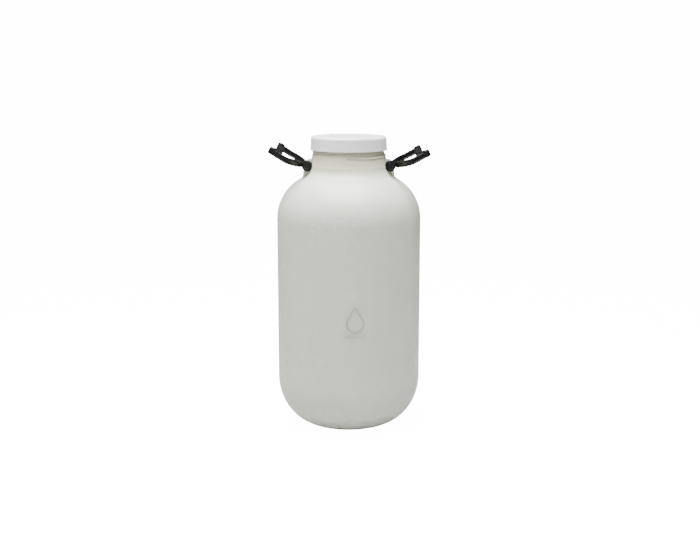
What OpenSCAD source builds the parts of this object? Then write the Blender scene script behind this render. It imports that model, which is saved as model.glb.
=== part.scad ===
// Wide-mouth 25 litre carboy with a screw cap and two swing handles.
// Millimetres. +Z is up, the origin is the centre of the resting plane, -Y is the front.

/* [Tank] */
// Outside radius of the cylindrical wall
body_r = 135; // [115:1:165]
// Height at which the cylindrical wall ends and the shoulder begins
wall_top_z = 395; // [320:0.5:475]
// Wall thickness of the blow moulding
wall = 2.5; // [2:0.1:3.5]
// Outside radius of the flat contact ring under the base
base_ring_r = 52; // [45:1:80]
// Width of the flat contact ring
base_ring_w = 12; // [6:1:16]
// Height of the push-up in the middle of the base
push_up_h = 7; // [3:0.5:12]
// Height of the rounded bottom corner
corner_h = 94.5; // [60:0.5:130]
// Fullness of the bottom corner: 2 is an ellipse, less is flatter
corner_power = 2.04; // [1.5:0.02:2.4]
// Radius of the domed shoulder
shoulder_r = 87.5; // [80:0.5:105]

/* [Neck] */
// Outside radius of the threaded finish
finish_r = 64.6; // [58:0.1:78]
// How much wider the neck is where it leaves the shoulder
neck_flare = 8.9; // [4:0.1:10]
// Radius of the hollow curve between shoulder and neck
neck_fillet_r = 24; // [18:0.5:28]
// Height of the neck from its foot to the lip
neck_h = 49.6; // [46:0.1:56]
// Height of the straight threaded finish below the lip
finish_h = 17; // [15:0.5:22]

/* [Thread] */
// Rise of the thread in one turn
thread_lead = 12; // [10:0.5:16]
// Height of the ridge above the neck
thread_h = 2.4; // [2:0.1:2.6]
// Width of the ridge at its root
thread_root_w = 3.2; // [2.5:0.1:4]
// Width of the ridge at its crest
thread_crest_w = 1.6; // [1:0.1:2]
// Depth of the ridge's lower end below the lip
thread_start_drop = 32.5; // [30:0.5:36]
// Direction of the ridge's lower end
thread_start_angle = -92; // [-120:1:-60]
// Turns of the ridge on the neck
neck_thread_turns = 2.25; // [1.5:0.05:2.3]
// Turns of the ridge inside the cap
cap_thread_turns = 1; // [0.5:0.05:1]

/* [Cap] */
// Radial gap between the neck's thread and the skirt
thread_gap = 1.2; // [1.1:0.1:2]
// How much the skirt narrows towards the top
cap_draft = 0.7; // [0:0.1:1.5]
// Depth of the skirt's lower edge below the neck's lip
cap_skirt_h = 19.5; // [16:0.5:22]
// Thickness of the cap's roof
cap_roof = 3; // [2:0.1:4]
// Wall of the skirt
cap_wall = 3; // [2.5:0.1:3.2]
// Radius of the rounded top edge
cap_edge_r = 5; // [2:0.5:7]
// Height of the lip round the lower edge
cap_lip_h = 3; // [2:0.5:5]
// How far the lip stands out
cap_lip_out = 0.5; // [0.2:0.1:1]
// Radius of the gate mark on the roof
gate_r = 4.5; // [3:0.5:6]
// Height of the gate mark
gate_h = 1.5; // [0.5:0.1:2.5]

/* [Sealing disc] */
// Thickness of the soft disc under the roof
disc_t = 3; // [2:0.1:4]
// Gap between the disc and the faces above and below it
disc_gap = 0.1; // [0.05:0.05:0.3]
// Gap round the disc inside the skirt
disc_side_gap = 0.8; // [0.4:0.1:1.5]

/* [Ears and pins] */
// Distance of each pivot outside the neck's foot
pivot_out = 1.9; // [1:0.1:6]
// Height of the pivots above the neck's foot
pivot_rise = 1.3; // [-2:0.1:4]
// Angle by which the rear end of each pivot leans towards the middle
toe_in = 5; // [0:0.5:7]
// Thickness of an ear along its pin
ear_t = 30; // [24:1:36]
// Outside radius of a handle eye
eye_r = 9.7; // [8.5:0.1:10]
// How far an ear's round end stays inside the eyes
ear_inset = 1.5; // [0:0.1:2]
// Gap between a handle eye and the pocket in the neck beside the ear
pocket_gap = 0.6; // [0.4:0.1:1]
// Radius of a hinge pin
pin_r = 4; // [3:0.1:5]
// Radial clearance of the pin in the ear
pin_running_gap = 0.08; // [0.03:0.01:0.1]
// Radial clearance of the pin in the handle eyes and of the pin cap on the pin
pin_seat_gap = 0.03; // [0.02:0.01:0.05]
// Radius of the pin's flat head and of the pin cap
pin_head_r = 7; // [6:0.1:7.4]
// Thickness of the head and of the pin cap
pin_head_t = 2; // [1.5:0.1:3]
// Radius of the pin's tip inside the pin cap
pin_tip_r = 2.8; // [2:0.1:3.2]

/* [Handles] */
// Angle of the left handle above the horizontal at rest
left_raise = 30.5; // [0:0.5:60]
// Angle of the right handle above the horizontal at rest
right_raise = 26; // [0:0.5:60]
// Gap between an ear and each handle eye
eye_side_gap = 0.5; // [0.3:0.1:1]
// Thickness of each eye along the pin
eye_t = 9.5; // [8:0.5:12]
// Thickness of the handle's bars across their flat plane
bar_t = 11; // [8:0.5:12]
// Width of the arms in the handle's plane
arm_w = 9; // [6:0.5:9]
// Width of the grip bar in the handle's plane
grip_w = 12; // [9:0.5:13]
// How far the bars lie below the pin's centre where they leave the eyes
bar_drop = 2.5; // [2:0.5:4]
// How much further the arms sag where they turn parallel
arm_sag = 4; // [0:0.5:5]
// How far the tips rise again from the sag
tip_rise = 2; // [0:0.5:4]
// Thickness of the rounded tips
tip_t = 13; // [10:0.5:14]
// Distance from the pin to the rounded tips of the arms
handle_reach = 74; // [68:1:85]
// Half the handle's width between the middles of its arms
grip_half_span = 54; // [46:1:60]
// Radius of the rounded tips
tip_r = 7; // [5:0.5:8]
// Depth of the shallow V in the grip bar
grip_v = 9; // [0:0.5:12]

/* [Front mark] */
// Overall height of the raised drop outline
mark_h = 52; // [40:1:60]
// Width of the raised line
mark_line = 3.4; // [2:0.2:5]
// How far the mark stands out
mark_raise = 0.8; // [0.4:0.1:1.2]
// Depth of the middle of the mark below the top of the wall
mark_drop = 164; // [100:0.5:200]
// Sideways place of the mark
mark_x = 11.5; // [-20:0.5:20]
// Length of the plain bar below the drop
mark_bar_l = 36; // [20:1:50]

/* [Hidden] */

$fn = 96;
tiny = 0.01;                                   // makes cuts run past the faces they cut
outline_steps = 24;                            // straight pieces in each curve of the tank's outline
thread_steps = 60;                             // straight pieces in each turn of a thread
thread_fade = 40;                              // degrees over which a thread ridge rises
thread_bury = 1;                               // depth of a thread's root in its wall

neck_foot_r = finish_r + neck_flare;
bore_r = finish_r - wall;
shoulder_c = body_r - shoulder_r;              // radius of the circle of shoulder centres
inner_fillet_r = neck_fillet_r - 4;            // hollow curve below the bore, inside
fillet_z = foot_height(0, neck_foot_r, neck_fillet_r);
neck_slope = neck_flare / (neck_h - finish_h); // how much the neck widens for each mm down
lip_z = fillet_z + neck_h;
finish_z = lip_z - finish_h;
thread_start_z = lip_z - thread_start_drop;
mark_z = wall_top_z - mark_drop;

cap_in_r = finish_r + thread_h + thread_gap;
cap_r = cap_in_r + cap_wall;
cap_bottom_z = lip_z - cap_skirt_h;
roof_in_z = lip_z + disc_t + 2 * disc_gap;
cap_top_z = roof_in_z + cap_roof;
cap_top_r = cap_r - cap_draft;

pivot_x = neck_foot_r + pivot_out;
pivot_z = fillet_z + pivot_rise;
pin_half = ear_t / 2 + eye_side_gap + eye_t;   // from the ear's middle to an eye's outer face
eye_mid = ear_t / 2 + eye_side_gap + eye_t / 2;
ear_web_rise = 5;                              // how far the ear's top climbs to the neck
ear_foot_z = pivot_z - 36;                     // bottom of the ear, inside the shoulder
tip_u = handle_reach - tip_r;
bend_u = tip_u - 36;                           // where the arms turn parallel
sag_u = tip_u - 29;                            // where the arms lie lowest
root_u = 11;                                   // where the arms leave the eyes
grip_u = tip_u - grip_v;

// Points on an arc in the (radius, height) half-plane, from angle a0 to a1.
function arc(cr, cz, r, a0, a1, n) =
    [for (i = [0 : n]) let (a = a0 + (a1 - a0) * i / n) [cr + r * cos(a), cz + r * sin(a)]];

// Points on the bottom corner: a superellipse quarter from the contact ring up to the wall.
function corner(r0, z0, w, h, n) =
    [for (i = [0 : n]) let (a = 90 * i / n)
        [r0 + w * pow(sin(a), 2 / corner_power), z0 + h * (1 - pow(max(cos(a), 0), 2 / corner_power))]];

// Height at which the hollow curve of radius f meets a neck of radius r, for the shoulder moved in by t.
function foot_height(t, r, f) =
    wall_top_z + sqrt(pow(shoulder_r - t + f, 2) - pow(r + f - shoulder_c, 2));

// Outline of the tank moved inwards by t, from the middle of the base up to a neck of radius r.
function body_outline(t, r, f) = let (
    c = r + f, z = foot_height(t, r, f), meet = atan2(z - wall_top_z, c - shoulder_c)) concat(
    [[0, push_up_h + t], [base_ring_r - base_ring_w - 1.5 * push_up_h, push_up_h + t],
     [base_ring_r - base_ring_w, t]],
    corner(base_ring_r, t, body_r - t - base_ring_r, corner_h - t, outline_steps),
    arc(shoulder_c, wall_top_z, shoulder_r - t, 0, meet, outline_steps),
    arc(c, z, f, meet + 180, 180, 8));

// The outside has a cone up to the threaded finish; the inside has a straight bore.
outside = concat(body_outline(0, neck_foot_r, neck_fillet_r),
                 [[finish_r, finish_z], [finish_r, lip_z], [0, lip_z]]);
inside = concat(body_outline(wall, bore_r, inner_fillet_r), [[bore_r, lip_z + tiny], [0, lip_z + tiny]]);

// A screw ridge of the given turns, from its root in a wall to its crest. Where a cone with the given
// slope below the finish is wider than the root, the ridge stands on the cone.
module thread_ridge(root_r, crest_r, turns, z0, a0, slope = 0) {
    n = round(turns * thread_steps);
    sweep = 360 * turns;
    side = sign(root_r - crest_r);
    rows = [for (i = [0 : n]) let (
        a = sweep * i / n,
        rise = max(0.02, min(1, a / thread_fade, (sweep - a) / thread_fade)),
        z = z0 + thread_lead * a / 360,
        foot_r = root_r + slope * max(0, finish_z - z),
        r1 = foot_r + side * thread_bury,
        r2 = foot_r + (crest_r - root_r) * rise,
        c = cos(a0 + a), s = sin(a0 + a))
        [[r1 * c, r1 * s, z - thread_root_w / 2], [r2 * c, r2 * s, z - thread_crest_w / 2],
         [r2 * c, r2 * s, z + thread_crest_w / 2], [r1 * c, r1 * s, z + thread_root_w / 2]]];
    points = [for (row = rows) for (p = row) p];
    quads = [for (i = [0 : n - 1]) for (k = [0 : 3])
        let (a = 4 * i + k, b = 4 * i + (k + 1) % 4) [a, b, b + 4, a + 4]];
    ends = [[3, 2, 1, 0], [4 * n, 4 * n + 1, 4 * n + 2, 4 * n + 3]];
    faces = concat(quads, ends);
    inward = root_r > crest_r;
    polyhedron(points, inward ? [for (f = faces) [for (k = [len(f) - 1 : -1 : 0]) f[k]]] : faces);
}

// Puts a piece made about the origin, pin along Y and outwards along +X, on the given side.
module at_pivot(side) {
    mirror([side < 0 ? 1 : 0, 0, 0]) translate([pivot_x, 0, pivot_z]) rotate([0, 0, toe_in]) children();
}

// A round bar along Y, centred on the given place.
module y_cylinder(r, l, y = 0) {
    translate([0, y, 0]) rotate([90, 0, 0]) cylinder(r = r, h = l, center = true);
}

module drop(r, l) {
    a = acos(r / l);
    circle(r = r);
    polygon([[-r * sin(a), r * cos(a)], [r * sin(a), r * cos(a)], [0, l]]);
}

// A raised drop outline with a plain bar below it, cut from a thin shell on the wall.
module front_mark() {
    r = mark_h / 3;
    l = mark_h - r;
    inner = 1 - mark_line / r;
    intersection() {
        cylinder(r = body_r + mark_raise, h = wall_top_z, $fn = 200);
        translate([mark_x, 0, mark_z - mark_h / 2 + r]) rotate([90, 0, 0])
            linear_extrude(height = 2 * body_r) {
                difference() {
                    drop(r, l);
                    drop(r * inner, l * inner);
                }
                translate([-mark_bar_l / 2, -r - 0.4 * mark_h]) square([mark_bar_l, mark_line]);
            }
    }
}

// The ear's side view: round about the pin, straight down into the shoulder, webbed to the neck.
module ear() {
    drop_l = pivot_z - ear_foot_z;
    inner = bore_r + 1 - pivot_x;
    round_r = eye_r - ear_inset;
    rotate([90, 0, 0]) linear_extrude(height = ear_t, center = true) {
        circle(r = round_r);
        translate([inner, -drop_l]) square([round_r - inner, drop_l]);
        polygon([[inner, -drop_l], [0, -drop_l], [0, round_r], [inner, round_r + ear_web_rise]]);
    }
}

// Room for the two eyes of a handle, cut into the neck beside the ear.
module eye_pockets() {
    room = pin_half + pocket_gap - ear_t / 2;
    for (s = [-1, 1]) y_cylinder(eye_r + pocket_gap, room, s * (ear_t + room) / 2);
}

module tank() color([0.90, 0.91, 0.89]) {
    difference() {
        union() {
            difference() {
                rotate_extrude($fn = 180) polygon(outside);
                for (side = [-1, 1]) at_pivot(side) eye_pockets();
            }
            thread_ridge(finish_r, finish_r + thread_h, neck_thread_turns, thread_start_z,
                         thread_start_angle, neck_slope);
            for (side = [-1, 1]) at_pivot(side) ear();
            front_mark();
        }
        rotate_extrude($fn = 180) polygon(inside);
        for (side = [-1, 1]) at_pivot(side) y_cylinder(pin_r + pin_running_gap, ear_t + 2);
    }
}

module screw_cap() color([0.95, 0.95, 0.95]) {
    difference() {
        union() {
            rotate_extrude($fn = 180) polygon(concat(
                [[0, cap_bottom_z], [cap_r + cap_lip_out, cap_bottom_z],
                 [cap_r + cap_lip_out, cap_bottom_z + cap_lip_h],
                 [cap_r, cap_bottom_z + cap_lip_h + cap_lip_out]],
                arc(cap_top_r - cap_edge_r, cap_top_z - cap_edge_r, cap_edge_r, 0, 90, 8),
                [[0, cap_top_z]]));
            translate([-32, 50, cap_top_z - 1]) cylinder(r = gate_r, h = gate_h + 1);
        }
        translate([0, 0, cap_bottom_z - 1]) cylinder(r = cap_in_r, h = roof_in_z - cap_bottom_z + 1, $fn = 180);
    }
    thread_ridge(cap_in_r, cap_in_r - thread_h, cap_thread_turns,
                 thread_start_z + 1.5 * thread_lead, thread_start_angle);
}

module sealing_disc() color([0.80, 0.82, 0.80]) {
    translate([0, 0, lip_z + disc_gap]) cylinder(r = cap_in_r - disc_side_gap, h = disc_t, $fn = 180);
}

// A straight bar with round ends between two points of the handle's plane.
module bar(a, b, w) {
    d = b - a;
    translate(a) {
        circle(r = w / 2);
        rotate(atan2(d[1], d[0])) translate([0, -w / 2]) square([norm(d), w]);
    }
    translate(b) circle(r = w / 2);
}

// The handle's outline: two arms that spread from the eyes, and a grip bar with a shallow V.
module handle_outline() {
    for (s = [-1, 1]) {
        bar([0, s * eye_mid], [root_u, s * eye_mid], arm_w);
        bar([root_u, s * eye_mid], [bend_u, s * grip_half_span], arm_w);
        bar([bend_u, s * grip_half_span], [tip_u, s * grip_half_span], arm_w);
        bar([grip_u, 0], [tip_u - 1, s * grip_half_span], grip_w);
        translate([tip_u, s * grip_half_span]) circle(r = tip_r);
    }
}

// The handle's side view: the bars sag a little between the eyes and the tips.
module handle_side_view() {
    path = [[-eye_r, -bar_drop], [root_u, -bar_drop], [sag_u, -bar_drop - arm_sag],
            [handle_reach + bar_t, tip_rise - bar_drop - arm_sag]];
    for (i = [0 : len(path) - 2]) bar(path[i], path[i + 1], bar_t);
}

module handle(side, raise) color([0.10, 0.11, 0.10]) at_pivot(side) rotate([0, -raise, 0]) {
    difference() {
        union() {
            intersection() {
                linear_extrude(height = 6 * bar_t, center = true) handle_outline();
                rotate([90, 0, 0]) linear_extrude(height = 3 * grip_half_span, center = true) handle_side_view();
            }
            for (s = [-1, 1]) {
                y_cylinder(eye_r, eye_t, s * eye_mid);
                translate([tip_u, s * grip_half_span, tip_rise - bar_drop - arm_sag])
                    cylinder(r = tip_r, h = tip_t, center = true);
            }
        }
        y_cylinder(pin_r + pin_seat_gap, 2 * pin_half + 2);
        y_cylinder(eye_r + eye_side_gap, ear_t + 2 * eye_side_gap);
        for (s = [-1, 1]) y_cylinder(pin_head_r + pin_seat_gap, 2 * pin_head_t, s * pin_half);
    }
}

module left_handle() handle(-1, left_raise);
module right_handle() handle(1, right_raise);

// A flat-headed pin: head in the front eye, shaft through the ear, thin tip in the rear eye.
module hinge_pin(side) color([0.13, 0.14, 0.12]) at_pivot(side) {
    shaft = 2 * (pin_half - pin_head_t);
    y_cylinder(pin_r, shaft);
    y_cylinder(pin_head_r, pin_head_t, -pin_half + pin_head_t / 2);
    y_cylinder(pin_tip_r, pin_head_t, pin_half - pin_head_t / 2);
}

module left_hinge_pin() hinge_pin(-1);
module right_hinge_pin() hinge_pin(1);

// A push-on disc that holds the pin's rear end.
module pin_cap(side) color([0.12, 0.12, 0.12]) at_pivot(side) difference() {
    y_cylinder(pin_head_r, pin_head_t, pin_half - pin_head_t / 2);
    y_cylinder(pin_tip_r + pin_seat_gap, 4 * pin_head_t, pin_half);
}

module left_pin_cap() pin_cap(-1);
module right_pin_cap() pin_cap(1);

tank();
screw_cap();
sealing_disc();
left_handle();
right_handle();
left_hinge_pin();
right_hinge_pin();
left_pin_cap();
right_pin_cap();
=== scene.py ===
import math

import bpy
import numpy as np
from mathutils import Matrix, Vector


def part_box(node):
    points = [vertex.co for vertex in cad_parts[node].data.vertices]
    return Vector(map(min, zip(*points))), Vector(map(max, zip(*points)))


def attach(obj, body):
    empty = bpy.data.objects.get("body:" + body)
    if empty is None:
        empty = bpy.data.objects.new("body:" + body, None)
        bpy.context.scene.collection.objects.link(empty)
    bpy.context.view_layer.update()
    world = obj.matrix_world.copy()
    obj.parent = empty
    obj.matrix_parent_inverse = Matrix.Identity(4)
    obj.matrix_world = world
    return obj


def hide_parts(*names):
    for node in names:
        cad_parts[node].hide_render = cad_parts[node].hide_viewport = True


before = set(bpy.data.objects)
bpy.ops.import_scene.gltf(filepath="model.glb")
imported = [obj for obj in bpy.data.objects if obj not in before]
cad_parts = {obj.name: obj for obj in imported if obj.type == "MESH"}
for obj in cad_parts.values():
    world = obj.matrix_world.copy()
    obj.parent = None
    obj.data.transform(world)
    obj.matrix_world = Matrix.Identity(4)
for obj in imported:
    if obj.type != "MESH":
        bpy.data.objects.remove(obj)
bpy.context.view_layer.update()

bl_info = {
    "name": "Wide-mouth carboy",
    "version": (1, 0, 0),
    "blender": (4, 5, 0),
    "location": "3D View > Sidebar > Carboy",
    "description": "Builds the visible surfaces and finishes of a wide-mouth plastic carboy",
    "category": "Add Mesh",
}

SIDES = {"left": -1, "right": 1}
SEAL_GAP = 0.0001
PRESS_FIT = 0.00003
TURNING_FIT = 0.00008
NECK_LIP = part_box("sealing_disc")[0][2] - SEAL_GAP
CAP_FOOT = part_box("screw_cap")[0][2]
PIVOT_Z = sum(corner[2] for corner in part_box("left_pin_cap")) / 2


# ---------------------------------------------------------------- settings

def length(name, description, default, low=0.0, high=1.0):
    """A length property in metres."""
    return bpy.props.FloatProperty(name=name, description=description, default=default, min=low, max=high,
                                   subtype="DISTANCE", unit="LENGTH", precision=5)


def angle(name, description, degrees):
    """An angle property, given in degrees."""
    return bpy.props.FloatProperty(name=name, description=description, default=math.radians(degrees),
                                   subtype="ANGLE")


def number(name, description, default, low=0.0, high=100.0):
    """A plain number property."""
    return bpy.props.FloatProperty(name=name, description=description, default=default, min=low, max=high)


def colour(name, description, default):
    """A linear colour property."""
    return bpy.props.FloatVectorProperty(name=name, description=description, default=default, size=3,
                                         min=0.0, max=1.0, subtype="COLOR")


class CarboyTankSettings(bpy.types.PropertyGroup):
    radius: length("Radius", "Outside radius of the straight wall", 0.135)
    wall: length("Wall", "Thickness of the blow-moulded wall", 0.0025)
    wall_top: length("Wall top", "Height at which the straight wall ends", 0.395)
    ring_radius: length("Base ring radius", "Outside radius of the flat contact ring", 0.052)
    ring_width: length("Base ring width", "Width of the flat contact ring", 0.012)
    push_up: length("Push-up", "Height of the raised middle of the base", 0.007)
    corner_height: length("Corner height", "Height of the rounded bottom corner", 0.0945)
    corner_power: number("Corner fullness", "2 is an ellipse, less is flatter", 2.04, 1.2, 3.0)
    shoulder: length("Shoulder radius", "Radius of the domed shoulder", 0.0875)
    neck_foot: length("Neck foot radius", "Outside radius where the neck leaves the shoulder", 0.0735)
    finish: length("Finish radius", "Outside radius of the threaded finish", 0.0646)
    finish_height: length("Finish height", "Height of the straight threaded finish below the lip", 0.017)
    fillet: length("Neck fillet", "Radius of the hollow curve below the neck", 0.024)
    inner_fillet: length("Inner fillet", "Radius of the hollow curve below the bore, inside", 0.020)
    parting: length("Parting line", "Height of the faint line where the mould halves met", 0.00025)
    skin: colour("Skin colour", "Colour of the translucent polyethylene", (0.80, 0.814, 0.67))
    # The neck colour is darker than the skin: a warm tint for the thicker neck, and painted shade standing in
    # for the shadow under the cap.
    neck_tint_and_shade: colour("Neck colour", "Colour of the thicker, warmer neck", (0.58, 0.555, 0.42))


class CarboyThreadSettings(bpy.types.PropertyGroup):
    lead: length("Lead", "Rise of the thread in one turn", 0.012)
    height: length("Height", "Height of the ridge above its wall", 0.0024)
    width: length("Width", "Width of the ridge at its root", 0.0034)
    start_drop: length("Start depth", "Depth of the ridge's lower end below the lip", 0.0325)
    start_angle: angle("Start angle", "Direction of the ridge's lower end", -92)
    neck_turns: number("Neck turns", "Turns of the ridge on the neck", 2.25, 1.0, 2.3)
    cap_turns: number("Cap turns", "Turns of the ridge inside the cap", 1.0, 0.5, 1.0)


class CarboyMarkSettings(bpy.types.PropertyGroup):
    height: length("Height", "Overall height of the raised drop outline", 0.052)
    line: length("Line", "Width of the raised line", 0.0034)
    raised: length("Raise", "How far the line stands out", 0.0008)
    middle: length("Middle", "Height of the middle of the drop", 0.231)
    sideways: length("Sideways", "Sideways place of the mark", 0.0115, -0.1, 0.1)
    bar: length("Bar", "Length of the plain bar below the drop", 0.036)


class CarboyCapSettings(bpy.types.PropertyGroup):
    inner: length("Inner radius", "Radius inside the skirt", 0.0682)
    wall: length("Skirt wall", "Thickness of the skirt", 0.003)
    roof: length("Roof", "Thickness of the roof", 0.003)
    draft: length("Draft", "How much the skirt narrows upwards", 0.0007)
    edge: length("Edge radius", "Radius of the rounded top edge", 0.005)
    lip_height: length("Lip height", "Height of the lip round the lower edge", 0.003)
    lip_out: length("Lip width", "How far the lip stands out", 0.0005)
    gate_x: length("Gate sideways", "Sideways place of the gate mark", -0.032, -0.1, 0.1)
    gate_y: length("Gate depth", "Front to back place of the gate mark", 0.050, -0.1, 0.1)
    gate_radius: length("Gate radius", "Radius of the gate mark", 0.0045)
    gate_height: length("Gate height", "Height of the gate mark", 0.0015)
    disc: length("Disc thickness", "Thickness of the soft sealing disc", 0.003)
    disc_gap: length("Disc gap", "Gap round the disc inside the skirt", 0.0008)
    skin: colour("Cap colour", "Colour of the cap", (0.83, 0.80, 0.80))
    foam: colour("Disc colour", "Colour of the foam disc", (0.72, 0.74, 0.71))


class CarboyHandleSettings(bpy.types.PropertyGroup):
    pivot_x: length("Pivot distance", "Distance of each pivot from the middle", 0.0754)
    pivot_z: length("Pivot height", "Height of the pivots", PIVOT_Z)
    toe_in: angle("Toe-in", "Lean of each pin's rear end towards the middle", 5)
    left_raise: angle("Left raise", "Angle of the left handle above the horizontal", 30.5)
    right_raise: angle("Right raise", "Angle of the right handle above the horizontal", 26)
    ear: length("Ear thickness", "Thickness of an ear along its pin", 0.030)
    eye_radius: length("Eye radius", "Outside radius of a handle eye", 0.0097)
    eye: length("Eye thickness", "Thickness of each eye along the pin", 0.0095)
    side_gap: length("Side gap", "Gap between an ear and an eye", 0.0005)
    pocket: length("Pocket gap", "Gap between an eye and the neck beside the ear", 0.0007)
    ear_inset: length("Ear inset", "How far an ear's round end stays inside the eyes", 0.0015)
    bar: length("Bar thickness", "Thickness of the bars across their plane", 0.011)
    arm: length("Arm width", "Width of the arms in the handle's plane", 0.009)
    channel: length("Channel", "Depth of the channel along each side of an arm", 0.0009)
    grip: length("Grip width", "Width of the grip bar in the handle's plane", 0.012)
    drop: length("Drop", "How far the bars lie below the pin's centre at the eyes", 0.0025)
    sag: length("Sag", "How much further the arms sag at the bend", 0.004)
    rise: length("Rise", "How far the tips rise again", 0.002)
    reach: length("Reach", "Distance from the pin to the arms' tips", 0.074)
    span: length("Half span", "Half the width between the arms", 0.054)
    tip: length("Tip radius", "Radius of the rounded tips", 0.007)
    tip_height: length("Tip thickness", "Thickness of the rounded tips", 0.013)
    vee: length("Grip V", "Depth of the shallow V in the grip bar", 0.009)
    pin: length("Pin radius", "Radius of a hinge pin", 0.004)
    head: length("Head radius", "Radius of a pin's flat head and of the pin cap", 0.007)
    head_height: length("Head thickness", "Thickness of the head and of the pin cap", 0.002)
    pin_end: length("Pin end radius", "Radius of the pin's end inside the pin cap", 0.0028)
    skin: colour("Handle colour", "Colour of the black plastic", (0.0022, 0.0028, 0.0024))
    pin_skin: colour("Pin colour", "Colour of the pins and pin caps", (0.006, 0.0075, 0.006))


class CarboyStageSettings(bpy.types.PropertyGroup):
    distance: length("Camera distance", "Distance of the camera in front of the axis", 2.2, high=10.0)
    height: length("Camera height", "Height of the camera above the floor", 0.700, high=10.0)
    tilt: angle("Camera tilt", "How far the camera looks down", 10.88)
    lens: bpy.props.FloatProperty(name="Lens", description="Focal length on a 36 mm sensor",
                                  default=60.49, min=10, max=300, subtype="DISTANCE_CAMERA")
    sideways: length("Sideways", "Sideways place of the camera", 0.0023)
    floor: colour("Floor colour", "Colour of the plain floor", (0.52, 0.52, 0.52))
    room: number("Room light", "Strength of the soft light from all round", 0.44)
    rear: number("Rear light", "Share of the room light that comes from behind", 0.42)
    overhead: number("Overhead light", "Power of the big soft light overhead in watts", 102.0, 0, 1000)
    front: number("Front light", "Power of the soft light in front on the left in watts", 5.0, 0, 1000)
    backdrop: number("Backdrop", "Brightness of the white backdrop", 15.0)


GROUPS = {"tank": CarboyTankSettings, "thread": CarboyThreadSettings, "mark": CarboyMarkSettings,
          "cap": CarboyCapSettings, "handle": CarboyHandleSettings, "stage": CarboyStageSettings}


def settings(name):
    """The property group of that name on the scene."""
    return getattr(bpy.context.scene, "carboy_" + name)


# ---------------------------------------------------------------- curves

def line(a, b, steps):
    """Points on a straight line from a to b."""
    t = np.linspace(0, 1, steps + 1)[:, None]
    return np.asarray(a, float) * (1 - t) + np.asarray(b, float) * t


def arc(centre, radius, start, end, steps):
    """Points on a circle's arc: centre plus radius times (cos, sin) of evenly spaced angles in radians."""
    a = np.linspace(start, end, steps + 1)
    return np.stack([centre[0] + radius * np.cos(a), centre[1] + radius * np.sin(a)], -1)


def softened(corners, cuts, closed=False, steps=5):
    """A polyline with each corner replaced by a parabola that starts and ends the cut's length from it,
    and with one more point just outside each end of it, which keeps the flats flat."""
    corners = np.asarray(corners, float)
    n = len(corners)
    cuts = np.full(n, cuts, float) if np.isscalar(cuts) else np.asarray(cuts, float)
    t = np.linspace(0, 1, steps)[:, None]
    rows = []
    for k in range(n):
        here = corners[k]
        if not closed and k in (0, n - 1) or cuts[k] == 0:
            rows.append(here[None])
            continue
        before, after = corners[k - 1] - here, corners[(k + 1) % n] - here
        a = before / np.linalg.norm(before) * cuts[k]
        b = after / np.linalg.norm(after) * cuts[k]
        curve = here + a * (1 - t) ** 2 + b * t ** 2
        rows.append(np.vstack([here + 1.2 * a, curve, here + 1.2 * b]))
    return np.vstack(rows)


def filled(path, step):
    """The path with points added, so that no two neighbours are further apart than the step."""
    rows = [path[:1]]
    for a, b in zip(path[:-1], path[1:]):
        gap = np.linalg.norm(b - a)
        if gap > 1e-7:
            rows.append(line(a, b, max(1, math.ceil(gap / step)))[1:])
    return np.vstack(rows)


# ---------------------------------------------------------------- surfaces

def grid(points, wrap_rows):
    """A surface from rows of points: corners, and quads between neighbours, joined up where it wraps.
    Open rows get a middle point and a fan of triangles at each end, so the surface is closed."""
    rows, cols = points.shape[:2]
    i, j = np.meshgrid(np.arange(rows if wrap_rows else rows - 1), np.arange(cols), indexing="ij")
    up, on = (i + 1) % rows, (j + 1) % cols
    quads = np.stack([i * cols + j, i * cols + on, up * cols + on, up * cols + j], -1).reshape(-1, 4)
    corners, faces = points.reshape(-1, 3), [quads]
    if not wrap_rows:
        j = np.arange(cols)
        on = (j + 1) % cols
        first, last = len(corners), len(corners) + 1
        base = (rows - 1) * cols
        corners = np.vstack([corners, points[0].mean(0), points[-1].mean(0)])
        faces.append(np.stack([np.full(cols, first), on, j], -1))
        faces.append(np.stack([np.full(cols, last), base + j, base + on], -1))
    return corners, faces


def facing_out(part):
    """The part with its faces turned outwards: the sum of each face's corner triple products, which is six
    times the volume, has to be positive."""
    corners, faces = part
    volume = 0.0
    for f in faces:
        a, b, c = corners[f[:, 0]], corners[f[:, 1]], corners[f[:, 2]]
        volume += np.einsum("ij,ij->i", a, np.cross(b, c)).sum()
        if f.shape[1] == 4:
            volume += np.einsum("ij,ij->i", a, np.cross(c, corners[f[:, 3]])).sum()
    return (corners, [f[:, ::-1] for f in faces]) if volume < 0 else part


def lathed(profile, columns=96, angles=None):
    """A profile of (radius, height) turned about the Z axis: x, y = radius times (cos, sin) of the angle."""
    a = np.linspace(0, 2 * math.pi, columns, endpoint=False) if angles is None else angles
    r, h = profile[:, 0][:, None], profile[:, 1][:, None]
    return np.stack([r * np.cos(a), r * np.sin(a), h + 0 * a], -1)


def swept(path, section, up):
    """A closed section of (side, up) offsets carried along a path. The side direction is the up vector
    crossed with the path's own direction at each point."""
    ahead = np.gradient(path, axis=0)
    ahead /= np.linalg.norm(ahead, axis=1)[:, None]
    up = np.broadcast_to(np.asarray(up, float), path.shape)
    side = np.cross(up, ahead)
    side /= np.linalg.norm(side, axis=1)[:, None]
    top = np.cross(ahead, side)
    section = np.broadcast_to(section, (len(path),) + section.shape[-2:])
    return path[:, None] + section[..., :1] * side[:, None] + section[..., 1:] * top[:, None]


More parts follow.
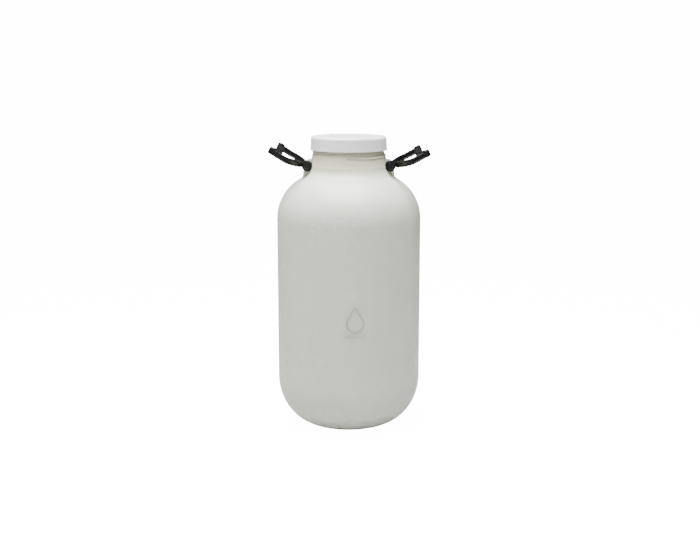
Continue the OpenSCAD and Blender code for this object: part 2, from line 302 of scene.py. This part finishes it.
def ridge_section(height, width, bury, steps=9):
    """A soft ridge's section of (side, up) points: a bell, height times the squared cosine, over a flat
    underside sunk in the wall. One row for each given height."""
    t = np.linspace(-1, 1, steps)
    bell = np.cos(t * math.pi / 2) ** 1.3
    height = np.atleast_1d(height)[:, None]
    side = np.concatenate([t, [0.9, -0.9]]) * width / 2
    up = np.concatenate([height * bell, np.full((len(height), 2), -bury)], 1)
    up[:, [0, steps - 1]] = -0.3 * bury
    return np.stack([np.broadcast_to(side, up.shape), up], -1)


def make_piece(name, parts):
    """One smooth mesh object at the origin from several closed (corners, faces) parts, each facing out."""
    corners, faces, first = [], [], 0
    for part in parts:
        v, f = facing_out(part)
        corners.append(v)
        faces.extend(q + first for q in f)
        first += len(v)
    points = np.vstack(corners).astype(np.float32)
    sizes = np.concatenate([np.full(len(f), f.shape[1]) for f in faces]).astype(np.int32)
    mesh = bpy.data.meshes.new(name)
    mesh.vertices.add(len(points))
    mesh.vertices.foreach_set("co", points.ravel())
    mesh.loops.add(int(sizes.sum()))
    mesh.loops.foreach_set("vertex_index", np.concatenate([f.ravel() for f in faces]).astype(np.int32))
    mesh.polygons.add(len(sizes))
    mesh.polygons.foreach_set("loop_start", (np.cumsum(sizes) - sizes).astype(np.int32))
    mesh.polygons.foreach_set("loop_total", sizes)
    mesh.update(calc_edges=True)
    if mesh.validate():
        raise RuntimeError(name + " has a broken face")
    mesh.shade_smooth()
    item = bpy.data.objects.new(name, mesh)
    bpy.context.scene.collection.objects.link(item)
    return item


def hand_over(item, material, body, node):
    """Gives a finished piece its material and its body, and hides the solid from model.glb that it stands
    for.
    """
    item.data.materials.append(material)
    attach(item, body)
    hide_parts(node)


def placed(points, side, raised=0.0):
    """Points given about a pivot (outwards, along the pin, up) put at that side's pivot: raised about the
    pin, turned by the toe-in about Z, moved out to the pivot and mirrored for the left side."""
    s = settings("handle")
    p, q, r = points[..., 0], points[..., 1], points[..., 2]
    u, w = p * math.cos(raised) - r * math.sin(raised), p * math.sin(raised) + r * math.cos(raised)
    c, t = math.cos(s.toe_in), math.sin(s.toe_in)
    return np.stack([side * (s.pivot_x + u * c - q * t), u * t + q * c, s.pivot_z + w], -1)


def about_pin(profile, columns=72):
    """A profile of (radius, place along the pin) turned about the pin's axis."""
    x, y, z = np.moveaxis(lathed(profile, columns), -1, 0)
    return np.stack([x, z, -y], -1)


# ---------------------------------------------------------------- materials

def new_material(name):
    """An empty node material, its tree and its principled shader."""
    material = bpy.data.materials.new(name)
    material.use_nodes = True
    tree = material.node_tree
    return material, tree, tree.nodes["Principled BSDF"]


def add(tree, kind, links=None, **values):
    """A node of that kind, with its attributes and inputs set, and with links given as input: output."""
    node = tree.nodes.new(kind)
    for key, value in values.items():
        setattr(node, key, value)
    for key, value in (links or {}).items():
        if isinstance(value, bpy.types.NodeSocket):
            tree.links.new(value, node.inputs[key])
        else:
            node.inputs[key].default_value = value
    return node


def noise(tree, where, scale, detail=2.0, roughness=0.5):
    """The noise value of that scale, in waves per metre, at the given place."""
    return add(tree, "ShaderNodeTexNoise", {"Vector": where, "Scale": scale, "Detail": detail,
                                           "Roughness": roughness}).outputs["Fac"]


def ranged(tree, value, low, high, out_low=0.0, out_high=1.0):
    """The value's place between low and high, carried to between out_low and out_high, and held there."""
    return add(tree, "ShaderNodeMapRange", {"Value": value, "From Min": low, "From Max": high,
                                           "To Min": out_low, "To Max": out_high}).outputs["Result"]


def mixed(tree, amount, a, b):
    """Colour a turning to colour b by the amount."""
    node = tree.nodes.new("ShaderNodeMix")
    node.data_type = "RGBA"
    for socket, value in ((node.inputs[0], amount), (node.inputs[6], a), (node.inputs[7], b)):
        if isinstance(value, bpy.types.NodeSocket):
            tree.links.new(value, socket)
        else:
            socket.default_value = value
    return node.outputs[2]


def bumped(tree, height, distance, under=None):
    """A bump of that height map and distance in metres, laid over the one under it."""
    links = {"Height": height, "Distance": distance, "Strength": 1.0}
    if under is not None:
        links["Normal"] = under
    return add(tree, "ShaderNodeBump", links).outputs["Normal"]


def shade(colour_value, factor):
    """The colour times the factor, with an opaque alpha."""
    return (*[min(1.0, c * factor) for c in colour_value], 1.0)


def polyethylene(name, skin, neck_tint_and_shade=None, roughness=0.36, depth=0.012):
    """Translucent satin polyethylene: light spreads a few millimetres inside it, the colour clouds a little
    where the wall's thickness wanders, and the skin has a fine orange peel over broad, shallow waves."""
    material, tree, shader = new_material(name)
    where = add(tree, "ShaderNodeTexCoord").outputs["Object"]
    stretched = add(tree, "ShaderNodeMapping", {"Vector": where, "Scale": (1.0, 1.0, 0.35)}).outputs["Vector"]
    cloud = ranged(tree, noise(tree, stretched, 9.0, 3.0), 0.3, 0.7)
    tint = mixed(tree, cloud, shade(skin, 0.975), shade(skin, 1.02))
    if neck_tint_and_shade is not None:
        # Above the shoulder the colour turns to the neck colour: warmer for the thicker wall, and darker as
        # painted shade under the cap.
        place = add(tree, "ShaderNodeSeparateXYZ", {"Vector": where}).outputs["Z"]
        neck_warm_and_shaded = mixed(tree, cloud, shade(neck_tint_and_shade, 0.96), shade(neck_tint_and_shade, 1.03))
        shoulder_end, neck_start = 0.486, 0.502
        tint = mixed(tree, ranged(tree, place, shoulder_end, neck_start), tint, neck_warm_and_shaded)
    tree.links.new(tint, shader.inputs["Base Color"])
    shine = ranged(tree, noise(tree, where, 60.0, 3.0), 0.3, 0.7, roughness - 0.04, roughness + 0.05)
    tree.links.new(shine, shader.inputs["Roughness"])
    waves = bumped(tree, noise(tree, stretched, 22.0, 1.0), 0.0009)
    peel = bumped(tree, noise(tree, where, 900.0, 2.0), 0.00003, waves)
    tree.links.new(peel, shader.inputs["Normal"])
    shader.subsurface_method = "RANDOM_WALK"
    shader.inputs["Subsurface Weight"].default_value = 0.7
    shader.inputs["Subsurface Radius"].default_value = (1.0, 0.97, 0.85)
    shader.inputs["Subsurface Scale"].default_value = depth
    shader.inputs["IOR"].default_value = 1.51
    return material


def foam(name, skin):
    """Closed-cell foam: a matt skin with small round cells showing as bump and as faint specks."""
    material, tree, shader = new_material(name)
    where = add(tree, "ShaderNodeTexCoord").outputs["Object"]
    cells = add(tree, "ShaderNodeTexVoronoi", {"Vector": where, "Scale": 1100.0}).outputs["Distance"]
    tint = mixed(tree, ranged(tree, cells, 0.0, 0.7), shade(skin, 0.86), shade(skin, 1.03))
    tree.links.new(tint, shader.inputs["Base Color"])
    tree.links.new(bumped(tree, cells, 0.0001), shader.inputs["Normal"])
    shader.inputs["Roughness"].default_value = 0.75
    shader.inputs["Subsurface Weight"].default_value = 0.2
    shader.inputs["Subsurface Scale"].default_value = 0.002
    return material


def black_plastic(name, skin, roughness):
    """Moulded black plastic: an even black with a fine spark-eroded grain, rubbed a little smoother and
    greyer in patches where hands and dust have been."""
    material, tree, shader = new_material(name)
    where = add(tree, "ShaderNodeTexCoord").outputs["Object"]
    rub = ranged(tree, noise(tree, where, 45.0, 4.0, 0.6), 0.42, 0.72)
    tint = mixed(tree, rub, shade(skin, 0.85), shade(skin, 1.9))
    tree.links.new(tint, shader.inputs["Base Color"])
    rough = ranged(tree, rub, 0.0, 1.0, roughness + 0.06, roughness - 0.07)
    tree.links.new(rough, shader.inputs["Roughness"])
    tree.links.new(bumped(tree, noise(tree, where, 2600.0, 2.0), 0.00003), shader.inputs["Normal"])
    shader.inputs["Specular IOR Level"].default_value = 0.22
    return material


# ---------------------------------------------------------------- tank

def shoulder_join(s, inset, foot, fillet):
    """Where the shoulder, moved in by the inset, meets a hollow curve that ends at a neck of that radius:
    the curve's centre by radius and height, and the angle at which the two circles touch."""
    centre = s.radius - s.shoulder
    r = foot + fillet
    z = s.wall_top + math.sqrt((s.shoulder - inset + fillet) ** 2 - (r - centre) ** 2)
    return r, z, math.atan2(z - s.wall_top, r - centre)


def bottle_profile(s, inset, foot, fillet, steps):
    """The bottle's outline moved in by the inset, from the base's middle to the neck's foot: a flat
    push-up, the contact ring, a superellipse corner, the wall, the shoulder's arc and the hollow curve."""
    r, z, meet = shoulder_join(s, inset, foot, fillet)
    ring_in = s.ring_radius - s.ring_width
    base = softened([[0.002, s.push_up + inset], [ring_in - 1.6 * s.push_up, s.push_up + inset],
                     [ring_in, inset], [s.ring_radius, inset]], [0, 0.005, 0.003, 0])
    a = np.linspace(0, math.pi / 2, steps + 1)[1:]
    power = 2 / s.corner_power
    wide, high = s.radius - inset - s.ring_radius, s.corner_height - inset
    corner = np.stack([s.ring_radius + wide * np.sin(a) ** power,
                       inset + high * (1 - np.maximum(np.cos(a), 0) ** power)], -1)
    dome = arc((s.radius - s.shoulder, s.wall_top), s.shoulder - inset, 0, meet, steps)
    hollow = arc((r, z), fillet, meet + math.pi, math.pi, steps // 3)
    return np.vstack([base, corner, dome, hollow[1:]])


def tank_profile(s):
    """The tank's whole outline as one closed loop: up the outside, over the rounded lip, down the inside.
    Returns the loop and the number of its points that lie outside."""
    foot_z = shoulder_join(s, 0, s.neck_foot, s.fillet)[1]
    bore = s.finish - s.wall
    outside = filled(bottle_profile(s, 0, s.neck_foot, s.fillet, 54), 0.014)
    neck = filled(softened([[s.neck_foot, foot_z], [s.finish, NECK_LIP - s.finish_height],
                            [s.finish, NECK_LIP], [bore, NECK_LIP], [bore, NECK_LIP - 0.02]],
                           [0, 0.003, 0.0011, 0.0011, 0]), 0.0011)
    inside = bottle_profile(s, s.wall, bore, s.inner_fillet, 22)[::-1]
    return np.vstack([outside, neck[1:], inside]), len(outside) + len(neck)


def clear_of_eyes(points):
    """Pushes the skin away from each pin's axis where it comes nearer than an eye's radius and its gap,
    within the eyes' width along the pin, fading over a millimetre and a half on each side."""
    s = settings("handle")
    near = s.eye_radius + s.pocket
    inner, outer = s.ear / 2, s.ear / 2 + s.side_gap + s.eye + s.side_gap
    c, t = math.cos(s.toe_in), math.sin(s.toe_in)
    for side in SIDES.values():
        dx, y = side * points[..., 0] - s.pivot_x, points[..., 1]
        u, v, w = dx * c + y * t, -dx * t + y * c, points[..., 2] - s.pivot_z
        away = np.maximum(np.hypot(u, w), 1e-5)
        fade = 0.0015
        band = np.clip((np.abs(v) - inner + fade) / fade, 0, 1)
        band = band * np.clip((outer + fade - np.abs(v)) / fade, 0, 1)
        push = band * np.maximum(near - away, 0) / away
        points = points + np.stack([side * push * u * c, push * u * t, push * w], -1)
    return points


def tank_shell(s):
    """The bottle's wall: its closed outline turned about Z. Columns crowd together at the parting line,
    where the outside rises by the line's height times a bell of the angle."""
    profile, outer_rows = tank_profile(s)
    even = np.linspace(0, 2 * math.pi, 252, endpoint=False)
    crowd = np.radians([-0.5, -0.3, -0.15, 0.15, 0.3, 0.5])
    angles = np.sort(np.concatenate([even, crowd % (2 * math.pi), crowd + math.pi]))
    points = lathed(profile, angles=angles)
    off = np.minimum(np.abs(np.sin(angles)), 0.05)
    line_up = s.parting * np.exp(-(off / 0.0035) ** 2)
    z = profile[:outer_rows, 1]
    shown = np.clip((z - 0.004) / 0.01, 0, 1) * (z < CAP_FOOT - 0.006)
    grow = 1 + shown[:, None] * line_up / np.maximum(profile[:outer_rows, :1], 0.03)
    points[:outer_rows, :, :2] *= grow[..., None]
    points[:outer_rows] = clear_of_eyes(points[:outer_rows])
    return grid(points, False)


def screw_ridge(wall_radius, inward, turns, start, cone_top=0.0, slope=0.0):
    """A soft ridge on a helix: height above the wall by a bell across it, tapering to nothing over the
    first and last forty degrees. Below the cone's top it stands on the cone, whose radius grows by the
    slope times the depth."""
    t = settings("thread")
    count = int(turns * 120)
    a = np.linspace(0, turns * 2 * math.pi, count + 1)
    rise = np.clip(np.minimum(a, a[-1] - a) / math.radians(40), 0.02, 1)
    rise = rise * rise * (3 - 2 * rise)
    turn = t.start_angle + a
    out = np.stack([np.cos(turn), np.sin(turn), 0 * a], -1)
    z = start + t.lead * a / (2 * math.pi)
    radius = wall_radius + slope * np.maximum(cone_top - z, 0)
    path = out * radius[:, None] + np.array([0, 0, 1.0]) * z[:, None]
    section = ridge_section(t.height * rise, t.width, 0.0007)
    return grid(swept(path, section, -out if inward else out), False)


def ear(side):
    """A moulded ear: rows go out along its bore, over one face, along its outline and back over the other.
    The outline is measured by angle about the pin: a round end, straight sides down and a web to the neck.
    Its feet follow the shoulder's own height, and spread a little where they meet it."""
    h, s = settings("handle"), settings("tank")
    round_r = h.eye_radius - h.ear_inset
    deep, inner = 0.036, s.finish - s.wall + 0.0012 - h.pivot_x
    outline = softened([[round_r, 0], [round_r, -deep], [inner, -deep], [inner, round_r + 0.005]],
                       [0, 0.002, 0.002, 0])
    top = arc((0, 0), round_r, math.radians(88), 0, 24)
    outline = filled(np.vstack([outline, top]), 0.0012)
    bore = h.pin + TURNING_FIT
    around = np.arctan2(outline[:, 1], outline[:, 0])
    hole = np.stack([np.cos(around), np.sin(around)], -1) * bore
    half, soft = h.ear / 2, 0.0014
    turn = np.linspace(0, math.pi / 2, 5)
    rows = []
    for end in (-1, 1):
        edge = [(outline, soft * (1 - math.sin(b)), end * (half - soft * (1 - math.cos(b))))
                for b in turn[::-1]]
        face = [(hole, 0.0, end * half), (hole + (outline - hole) * 0.5, 0.0, end * half)]
        rows += face + edge if end < 0 else edge[::-1] + face[::-1]
    points = []
    for shape, shrink, v in rows:
        size = np.linalg.norm(shape, axis=1, keepdims=True)
        shape = shape * (1 - shrink / size)
        points.append(np.stack([shape[:, 0], np.full(len(shape), v), shape[:, 1]], -1))
    middle = [points[6] * (1 - f) + points[7] * f for f in np.linspace(0, 1, 17)[1:-1]]
    points = np.array(points[:7] + middle + points[7:])
    r, z, meet = shoulder_join(s, 0, s.neck_foot, s.fillet)
    reach = np.hypot(h.pivot_x + points[..., 0], points[..., 1])
    dome = s.wall_top + np.sqrt(np.maximum(s.shoulder ** 2 - (reach - s.radius + s.shoulder) ** 2, 0))
    hollow = z - np.sqrt(np.maximum(s.fillet ** 2 - (r - np.maximum(reach, s.neck_foot)) ** 2, 0))
    skin = np.where(reach < r - s.fillet * math.cos(meet), hollow, dome)
    lift = h.pivot_z + points[..., 2] - skin
    spread = 0.0022 * np.exp(-np.maximum(lift, 0) / 0.0028) * (reach > s.neck_foot)
    beyond = np.abs(points[..., 1]) > half - 2 * soft
    points[..., 0] += spread * (points[..., 0] > 0.5 * round_r)
    points[..., 1] += spread * np.sign(points[..., 1]) * beyond * (points[..., 2] < -0.6 * round_r)
    points[..., 2] = np.maximum(points[..., 2], skin - 0.0022 - h.pivot_z)
    return grid(placed(points, side), True)


def raised_line(path, closed):
    """A soft ridge along a path of (sideways, height) points, bent round the tank's front: depth is the
    root of radius squared less sideways squared."""
    s, m = settings("tank"), settings("mark")
    depth = -np.sqrt(s.radius ** 2 - path[:, 0] ** 2)
    points = np.stack([path[:, 0], depth, path[:, 1]], -1)
    out = points * np.array([1.0, 1.0, 0.0]) / s.radius
    ends = np.ones(len(path))
    if not closed:
        along = np.linspace(0, 1, len(path))
        ends = np.clip(np.minimum(along, 1 - along) / 0.06, 0.02, 1)
    section = ridge_section(m.raised * ends, m.line, 0.0006)
    return grid(swept(points, section, out), closed)


def drop_outline():
    """A drop's outline: two thirds of a circle and two straight sides that meet in a point above it."""
    m = settings("mark")
    r = m.height / 3 - m.line / 2
    tall = m.height - m.height / 3 - m.line
    lean = math.acos(r / tall)
    low = m.middle - m.height / 2 + m.height / 3
    round_part = arc((0, 0), r, math.pi / 2 + lean, math.pi / 2 - lean + 2 * math.pi, 60)
    sides = softened([round_part[-1], [0, tall], round_part[0]], [0, 0.004, 0])
    loop = np.vstack([round_part, filled(sides, 0.0015)[1:-1]])
    return loop + np.array([m.sideways, low]), low - r


class CARBOY_OT_tank(bpy.types.Operator):
    """Makes the blow-moulded tank with its thread, ears, mark and parting line"""
    bl_idname = "carboy.tank"
    bl_label = "Tank"

    def execute(self, context):
        s, t, m = settings("tank"), settings("thread"), settings("mark")
        loop, low = drop_outline()
        bar_z = low - 0.0085
        bar = line([m.sideways - m.bar / 2, bar_z], [m.sideways + m.bar / 2, bar_z], 40)
        foot_z = shoulder_join(s, 0, s.neck_foot, s.fillet)[1]
        cone_top = NECK_LIP - s.finish_height
        slope = (s.neck_foot - s.finish) / (cone_top - foot_z)
        parts = [tank_shell(s),
                 screw_ridge(s.finish, False, t.neck_turns, NECK_LIP - t.start_drop, cone_top, slope),
                 ear(-1), ear(1), raised_line(loop, True), raised_line(bar, False)]
        item = make_piece("tank_moulding", parts)
        material = polyethylene("translucent_polyethylene", s.skin, s.neck_tint_and_shade)
        hand_over(item, material, "tank", "tank")
        return {"FINISHED"}


# ---------------------------------------------------------------- cap

class CARBOY_OT_cap(bpy.types.Operator):
    """Makes the screw cap with its inner thread, its lip and its gate mark"""
    bl_idname = "carboy.cap"
    bl_label = "Screw cap"

    def execute(self, context):
        c, t = settings("cap"), settings("thread")
        outer = c.inner + c.wall
        roof_in = NECK_LIP + c.disc + 2 * SEAL_GAP
        top = roof_in + c.roof
        foot, lip = CAP_FOOT, outer + c.lip_out
        edge = arc((outer - c.draft - c.edge, top - c.edge), c.edge, 0, math.pi / 2, 12)
        skirt = softened([[0.002, roof_in], [c.inner, roof_in], [c.inner, foot], [lip, foot],
                          [lip, foot + c.lip_height], [outer, foot + c.lip_height + c.lip_out], edge[0]],
                         [0, 0.0012, 0.0007, 0.0007, 0.0004, 0.0004, 0])
        r = np.linspace(edge[-1][0], 0.002, 24)[1:]
        roof = np.stack([r, top - 0.0004 * (1 - (r / edge[-1][0]) ** 2)], -1)
        profile = np.vstack([filled(skirt, 0.006)[:-1], edge, roof])
        nub = softened([[0.0004, -0.0012], [c.gate_radius, -0.0012], [c.gate_radius, 0.55 * c.gate_height],
                        [0.32 * c.gate_radius, 0.62 * c.gate_height], [0.26 * c.gate_radius, c.gate_height],
                        [0.0004, c.gate_height]], [0, 0, 0.0006, 0.0003, 0.0002, 0])
        gate = lathed(nub, 48) + np.array([c.gate_x, c.gate_y, top])
        thread = screw_ridge(c.inner, True, t.cap_turns, NECK_LIP - t.start_drop + 1.5 * t.lead)
        parts = [grid(lathed(profile, 288), False), grid(gate, False), thread]
        item = make_piece("screw_cap_moulding", parts)
        material = polyethylene("cap_polyethylene", c.skin, roughness=0.4, depth=0.004)
        hand_over(item, material, "cap", "screw_cap")
        return {"FINISHED"}


class CARBOY_OT_seal(bpy.types.Operator):
    """Makes the soft sealing disc under the cap's roof"""
    bl_idname = "carboy.seal"
    bl_label = "Sealing disc"

    def execute(self, context):
        c = settings("cap")
        low = NECK_LIP + SEAL_GAP
        r = c.inner - c.disc_gap
        profile = softened([[0.002, low], [r, low], [r, low + c.disc], [0.002, low + c.disc]],
                           [0, 0.0008, 0.0008, 0])
        item = make_piece("foam_sealing_disc", [grid(lathed(filled(profile, 0.006), 180), False)])
        hand_over(item, foam("seal_foam_cells", c.foam), "seal", "sealing_disc")
        return {"FINISHED"}


# ---------------------------------------------------------------- handles and pins

def bar_section(half_width, half_height, channel, on_sides):
    """A bar's section: a rectangle with soft corners and a shallow channel in two opposite faces."""
    a, b, g = half_width, half_height, channel
    if on_sides:
        corners = [[a, -b], [a, -0.6 * b], [a - g, -0.4 * b], [a - g, 0.4 * b], [a, 0.6 * b], [a, b]]
        cuts = [0.0014, 0.0004, 0.0004, 0.0004, 0.0004, 0.0014]
    else:
        corners = [[a, -b], [a, b], [0.55 * a, b], [0.4 * a, b - g], [-0.4 * a, b - g], [-0.55 * a, b]]
        cuts = [0.0024, 0.0024, 0.0004, 0.0004, 0.0004, 0.0004]
    corners = np.array(corners + [[-x, -y] for x, y in corners])
    return softened(corners, cuts + cuts, closed=True, steps=4)


def side_height(p):
    """Height of the bars' middle at the distance p from the pin: level at the eyes, sagging to the bend,
    then rising to the tips, along a softened polyline."""
    s = settings("handle")
    tip = s.reach - s.tip
    path = softened([[-0.02, -s.drop], [0.011, -s.drop], [tip - 0.029, -s.drop - s.sag],
                     [s.reach + s.bar, s.rise - s.drop - s.sag]], [0, 0.009, 0.012, 0], steps=12)
    return np.interp(p, path[:, 0], path[:, 1])


def handle_parts(side):
    """The closed parts of one handle: two arms, the grip bar, two eyes and two rounded tips."""
    s = settings("handle")
    middle = s.ear / 2 + s.side_gap + s.eye / 2
    tip = s.reach - s.tip
    shapes = []
    for end in (-1, 1):
        plan = softened([[0.0077, end * middle], [0.0115, end * middle], [tip - 0.036, end * s.span],
                         [tip, end * s.span]], [0, 0.0035, 0.011, 0], steps=14)
        plan = filled(plan, 0.0015)
        path = np.stack([plan[:, 0], plan[:, 1], side_height(plan[:, 0])], -1)
        grow = np.clip((plan[:, 0] - 0.0077) / 0.008, 0, 1)
        grow = grow * grow * (3 - 2 * grow)
        path[:, 2] += 0.0013 * (1 - grow)
        section = bar_section(s.arm / 2, s.bar / 2, s.channel, True)
        scale = np.stack([0.93 + 0.05 * grow, 0.78 + 0.22 * grow], -1)
        shapes.append((swept(path, section[None] * scale[:, None], (0, 0, 1)), False))
        near, far = end * (middle - s.eye / 2), end * (middle + s.eye / 2)
        seat = end * (middle + s.eye / 2 - s.head_height)
        hole, recess = s.pin + PRESS_FIT, s.head + PRESS_FIT
        loop = softened([[hole, near], [s.eye_radius, near], [s.eye_radius, far], [recess, far],
                         [recess, seat], [hole, seat]],
                        [0.0002, 0.0007, 0.0009, 0.0003, 0.0002, 0.0002], closed=True, steps=4)
        shapes.append((about_pin(loop), True))
        half = s.tip_height / 2
        post = softened([[0.0005, -half], [s.tip - 0.0006, -half], [s.tip, 0], [s.tip - 0.0006, half],
                         [0.0005, half]], [0, 0.0022, 0.004, 0.0022, 0])
        shapes.append((lathed(post, 48) + np.array([tip, end * s.span, s.rise - s.drop - s.sag]), False))
    dip = tip - s.vee
    plan = softened([[tip - 0.001, -s.span], [dip, 0], [tip - 0.001, s.span]], [0, 0.016, 0], steps=20)
    plan = filled(plan, 0.002)
    path = np.stack([plan[:, 0], plan[:, 1], side_height(plan[:, 0])], -1)
    shapes.append((swept(path, bar_section(s.grip / 2, s.bar / 2, 0.0008, False), (0, 0, 1)), False))
    raised = s.left_raise if side < 0 else s.right_raise
    return [grid(placed(points, side, raised), wrap) for points, wrap in shapes]


class CARBOY_OT_handles(bpy.types.Operator):
    """Makes the two black swing handles"""
    bl_idname = "carboy.handles"
    bl_label = "Handles"

    def execute(self, context):
        material = black_plastic("black_polypropylene", settings("handle").skin, 0.40)
        for name, side in SIDES.items():
            item = make_piece(name + "_swing_handle", handle_parts(side))
            hand_over(item, material, name + "_loop", name + "_handle")
        return {"FINISHED"}


class CARBOY_OT_pins(bpy.types.Operator):
    """Makes the hinge pins with their flat heads, and the caps that hold their rear ends"""
    bl_idname = "carboy.pins"
    bl_label = "Pins"

    def execute(self, context):
        s = settings("handle")
        material = black_plastic("black_polyamide", s.pin_skin, 0.52)
        half = s.ear / 2 + s.side_gap + s.eye
        neck = half - s.head_height
        pin = softened([[0.0005, -half + 0.0004], [0.72 * s.head, -half + 0.0004], [0.82 * s.head, -half],
                        [s.head, -half], [s.head, -neck], [s.pin, -neck], [s.pin, neck], [s.pin_end, neck],
                        [s.pin_end, half], [0.0005, half]],
                       [0, 0.0003, 0.0003, 0.0004, 0.0002, 0.0002, 0.0003, 0.0002, 0.0006, 0], steps=4)
        cap = softened([[s.pin_end + PRESS_FIT, neck], [s.head, neck], [s.head, half - 0.0006],
                        [s.head - 0.0008, half], [0.62 * s.head, half], [0.54 * s.head, half - 0.0004],
                        [s.pin_end + PRESS_FIT, half - 0.0004]],
                       [0.0001, 0.0002, 0.0003, 0.0003, 0.0002, 0.0002, 0.0001], closed=True, steps=4)
        for name, side in SIDES.items():
            item = make_piece(name + "_pin", [grid(placed(about_pin(filled(pin, 0.004)), side), False)])
            hand_over(item, material, name + "_loop", name + "_hinge_pin")
            item = make_piece(name + "_pin_retainer", [grid(placed(about_pin(cap), side), True)])
            hand_over(item, material, name + "_loop", name + "_pin_cap")
        return {"FINISHED"}


# ---------------------------------------------------------------- stage

def area_light(name, place, target, size, power):
    """A square soft light at the place, facing the target."""
    data = bpy.data.lights.new(name, "AREA")
    data.size = size
    data.energy = power
    light = bpy.data.objects.new(name, data)
    bpy.context.scene.collection.objects.link(light)
    ahead = np.asarray(target, float) - np.asarray(place, float)
    flat = math.hypot(ahead[0], ahead[1])
    light.location = place
    light.rotation_euler = (math.atan2(flat, -ahead[2]), 0, math.atan2(ahead[1], ahead[0]) - math.pi / 2)
    return light


def studio_world(s):
    """Soft light from all round, weaker from behind, and a bright white backdrop that only the camera's own
    rays meet."""
    world = bpy.data.worlds.new("studio_world")
    world.use_nodes = True
    tree = world.node_tree
    tree.nodes.clear()
    way = add(tree, "ShaderNodeTexCoord").outputs["Generated"]
    back = add(tree, "ShaderNodeSeparateXYZ", {"Vector": way}).outputs["Y"]
    strength = ranged(tree, back, -0.2, 0.7, s.room, s.room * s.rear)
    soft = add(tree, "ShaderNodeBackground", {"Color": (1, 1, 1, 1), "Strength": strength})
    white = add(tree, "ShaderNodeBackground", {"Color": (1, 1, 1, 1), "Strength": s.backdrop})
    seen = add(tree, "ShaderNodeLightPath").outputs["Is Camera Ray"]
    mix = add(tree, "ShaderNodeMixShader", {0: seen, 1: soft.outputs[0], 2: white.outputs[0]})
    out = add(tree, "ShaderNodeOutputWorld")
    tree.links.new(mix.outputs[0], out.inputs["Surface"])
    bpy.context.scene.world = world


def studio_floor(s):
    """A wide round floor with a glow that only the camera's own rays meet, so that it looks as white as the
    backdrop and sends back no more light than its plain colour does."""
    r = np.concatenate([[0.05], np.geomspace(0.1, 40, 24)])
    points = lathed(np.stack([r, 0 * r], -1), 96)
    top = grid(points, False)
    corners, faces = top[0][:-1], [top[1][0], top[1][1]]
    mesh = bpy.data.meshes.new("floor")
    mesh.from_pydata(corners.tolist(), [], [f.tolist() for block in faces for f in block[:, ::-1]])
    mesh.shade_smooth()
    floor = bpy.data.objects.new("floor", mesh)
    bpy.context.scene.collection.objects.link(floor)
    material, tree, shader = new_material("pale_floor")
    shader.inputs["Base Color"].default_value = (*s.floor, 1)
    shader.inputs["Roughness"].default_value = 0.9
    seen = add(tree, "ShaderNodeLightPath").outputs["Is Camera Ray"]
    glow = add(tree, "ShaderNodeMath", {0: seen, 1: s.backdrop}, operation="MULTIPLY").outputs[0]
    shader.inputs["Emission Color"].default_value = (1, 1, 1, 1)
    tree.links.new(glow, shader.inputs["Emission Strength"])
    mesh.materials.append(material)


class CARBOY_OT_stage(bpy.types.Operator):
    """Makes the floor, the lights and the camera"""
    bl_idname = "carboy.stage"
    bl_label = "Stage"

    def execute(self, context):
        s = settings("stage")
        data = bpy.data.cameras.new("camera")
        camera = bpy.data.objects.new("camera", data)
        context.scene.collection.objects.link(camera)
        camera.location = (s.sideways, -s.distance, s.height)
        camera.rotation_euler = (math.pi / 2 - s.tilt, 0, 0)
        data.lens = s.lens
        data.sensor_width = 36
        data.clip_end = 100
        context.scene.camera = camera
        studio_world(s)
        studio_floor(s)
        area_light("overhead_light", (-0.12, -0.2, 1.7), (0, 0, 0.45), 1.2, s.overhead)
        area_light("front_light", (-0.5, -2.3, 0.35), (0, 0, 0.2), 1.2, s.front)
        return {"FINISHED"}


# ---------------------------------------------------------------- panel and main

class CARBOY_PT_panel(bpy.types.Panel):
    """Lists the carboy's sizes, colours and operators"""
    bl_idname = "CARBOY_PT_panel"
    bl_label = "Carboy"
    bl_space_type = "VIEW_3D"
    bl_region_type = "UI"
    bl_category = "Carboy"

    def draw(self, context):
        for name, group in GROUPS.items():
            box = self.layout.box()
            box.label(text=name.capitalize())
            for key in group.__annotations__:
                box.prop(getattr(context.scene, "carboy_" + name), key)
        for item in OPERATORS:
            self.layout.operator(item.bl_idname)


OPERATORS = (CARBOY_OT_stage, CARBOY_OT_tank, CARBOY_OT_cap, CARBOY_OT_seal, CARBOY_OT_handles,
             CARBOY_OT_pins)
CLASSES = (*GROUPS.values(), *OPERATORS, CARBOY_PT_panel)


def register():
    for item in CLASSES:
        bpy.utils.register_class(item)
    for name, group in GROUPS.items():
        setattr(bpy.types.Scene, "carboy_" + name, bpy.props.PointerProperty(type=group))


def unregister():
    for name in GROUPS:
        delattr(bpy.types.Scene, "carboy_" + name)
    for item in reversed(CLASSES):
        bpy.utils.unregister_class(item)


def main():
    register()
    bpy.ops.carboy.stage()
    bpy.ops.carboy.tank()
    bpy.ops.carboy.cap()
    bpy.ops.carboy.seal()
    bpy.ops.carboy.handles()
    bpy.ops.carboy.pins()


if __name__ == "__main__":
    main()
